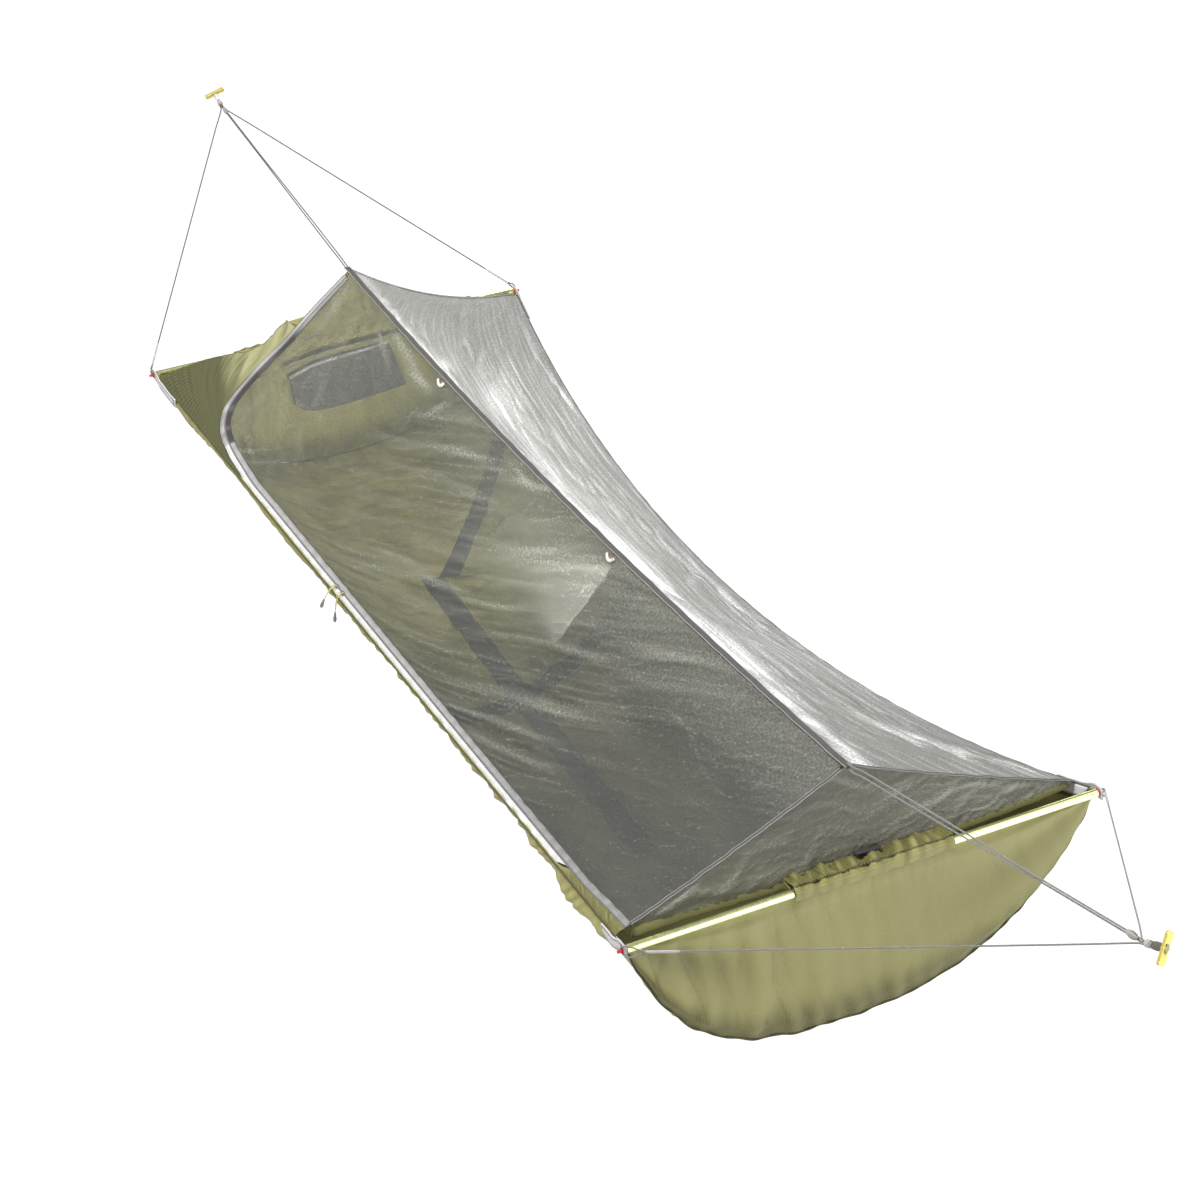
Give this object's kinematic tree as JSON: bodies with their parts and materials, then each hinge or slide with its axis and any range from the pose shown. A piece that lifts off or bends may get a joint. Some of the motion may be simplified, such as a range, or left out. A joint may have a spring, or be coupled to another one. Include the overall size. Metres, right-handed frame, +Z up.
{
  "type": "bridge hammock with insect net",
  "caption": "Bridge-style camping hammock: an olive fabric trough held open by spreader poles under a zipped insect net, hung by cords that meet at a toggle at each end.",
  "frame": {"origin": "middle of the flat face of the head end's toggle bar that bears on a hanging strap's loop", "axes": "+X along the hammock from the head toggle to the foot toggle, +Y to the side without the zip, +Z up"},
  "size_m": [3.9731, 0.92, 0.7346],
  "materials": {
    "body_cloth": "matte ripstop nylon, olive",
    "net_mesh": "fine knitted insect mesh, dark grey",
    "grey_webbing": "woven light grey webbing",
    "dark_binding": "woven dark grey binding",
    "zip_tape": "woven silver grey zip tape",
    "lime_anodised": "lime anodised, satin",
    "gold_anodised": "yellow anodised, satin",
    "grey_cord": "braided grey cord",
    "lime_cord": "braided lime cord",
    "steel": "plain",
    "red_plastic": "satin",
    "pale_plastic": "satin",
    "black_webbing": "woven black"
  },
  "bodies": {
    "hammock": {"body_fabric": "body_cloth", "head_end_wall": "body_cloth", "foot_end_wall": "body_cloth", "near_edge_webbing": "grey_webbing", "far_edge_webbing": "grey_webbing", "spine_band": "dark_binding", "head_band": "dark_binding", "cross_band": "dark_binding", "head_pocket": "net_mesh", "net_door": "net_mesh", "net_far": "net_mesh", "net_foot": "net_mesh", "head_upper_panel": "body_cloth", "head_gusset": "body_cloth", "ridge_binding": "dark_binding", "foot_hip_binding_near": "grey_webbing", "foot_hip_binding_far": "grey_webbing", "zip_tape_body": "zip_tape", "zip_tape_door": "zip_tape", "foot_sleeve_tab": "black_webbing", "head_pole_near": "lime_anodised", "head_tip_near": "red_plastic", "head_strap_near": "grey_webbing", "head_cord_near": "grey_cord", "head_pole_far": "lime_anodised", "head_tip_far": "red_plastic", "head_strap_far": "grey_webbing", "head_cord_far": "grey_cord", "head_ferrule": "steel", "head_shock_cord": "black_webbing", "head_pole_sleeve": "body_cloth", "head_ridge_cord": "grey_cord", "head_knot": "grey_cord", "foot_pole_near": "lime_anodised", "foot_tip_near": "red_plastic", "foot_strap_near": "grey_webbing", "foot_cord_near": "grey_cord", "foot_pole_far": "lime_anodised", "foot_tip_far": "red_plastic", "foot_strap_far": "grey_webbing", "foot_cord_far": "grey_cord", "foot_ferrule": "steel", "foot_shock_cord": "black_webbing", "foot_pole_sleeve": "body_cloth", "foot_ridge_cord": "grey_cord", "foot_knot": "grey_cord"},
    "head_toggle_group": {"head_toggle": "gold_anodised", "head_toggle_loop": "grey_webbing"},
    "foot_toggle_group": {"foot_toggle": "gold_anodised", "foot_toggle_loop": "grey_webbing"},
    "head_zip_slider": {"zip_slider_head": "steel"},
    "foot_zip_slider": {"zip_slider_foot": "steel"},
    "head_outer_pull": {"pull_head_outer": "lime_cord"},
    "head_inner_pull": {"pull_head_inner": "lime_cord"},
    "foot_outer_pull": {"pull_foot_outer": "lime_cord"},
    "foot_inner_pull": {"pull_foot_inner": "lime_cord"},
    "head_hook": {"ridge_hook_head": "pale_plastic"},
    "foot_hook": {"ridge_hook_foot": "pale_plastic"},
    "head_ridge_adjuster": {"head_adjuster": "grey_webbing"},
    "foot_ridge_adjuster": {"foot_adjuster": "grey_webbing"}
  },
  "joints": [
    {"name": "head_toggle_twist", "type": "hinge", "parent": "hammock", "child": "head_toggle_group", "pos_m": [0.03254, 0, -0.01315], "axis": [-0.9272, 0, 0.3746], "range_deg": [-90, 90]},
    {"name": "foot_toggle_twist", "type": "hinge", "parent": "hammock", "child": "foot_toggle_group", "pos_m": [3.91384, 0, 0.00305], "axis": [0.91, 0, 0.4147], "range_deg": [-90, 90]},
    {"name": "head_slider_travel", "type": "hinge", "parent": "hammock", "child": "head_zip_slider", "pos_m": [1.97424, -2.20595, 2.9594], "axis": [0, 0.8822, 0.4709], "range_deg": [0, 6]},
    {"name": "foot_slider_travel", "type": "hinge", "parent": "hammock", "child": "foot_zip_slider", "pos_m": [1.97424, -2.20595, 2.9594], "axis": [0, 0.8822, 0.4709], "range_deg": [-18.2, 0]},
    {"name": "head_outer_pull_swing", "type": "hinge", "parent": "head_zip_slider", "child": "head_outer_pull", "pos_m": [1.63964, -0.35455, -0.47958], "axis": [0.9964, 0.0402, -0.0753], "range_deg": [-75, 0]},
    {"name": "head_inner_pull_swing", "type": "hinge", "parent": "head_zip_slider", "child": "head_inner_pull", "pos_m": [1.6389, -0.35052, -0.48714], "axis": [0.9964, 0.0402, -0.0753], "range_deg": [0, 60]},
    {"name": "foot_outer_pull_swing", "type": "hinge", "parent": "foot_zip_slider", "child": "foot_outer_pull", "pos_m": [1.6696, -0.3534, -0.48174], "axis": [0.997, 0.0366, -0.0686], "range_deg": [-75, 0]},
    {"name": "foot_inner_pull_swing", "type": "hinge", "parent": "foot_zip_slider", "child": "foot_inner_pull", "pos_m": [1.66893, -0.34936, -0.4893], "axis": [0.997, 0.0366, -0.0686], "range_deg": [0, 60]},
    {"name": "head_hook_swing", "type": "hinge", "parent": "hammock", "child": "head_hook", "pos_m": [1.43374, 0, -0.18225], "axis": [0, 1, 0], "range_deg": [-30, 30]},
    {"name": "foot_hook_swing", "type": "hinge", "parent": "hammock", "child": "foot_hook", "pos_m": [2.24623, 0, -0.20434], "axis": [0, 1, 0], "range_deg": [-30, 30]},
    {"name": "head_adjuster_slide", "type": "slide", "parent": "hammock", "child": "head_ridge_adjuster", "axis": [0.9891, 0, -0.1472], "range_m": [0, 0.1]},
    {"name": "foot_adjuster_slide", "type": "slide", "parent": "hammock", "child": "foot_ridge_adjuster", "axis": [-0.9757, 0, -0.2192], "range_m": [0, 0.1]}
  ]
}
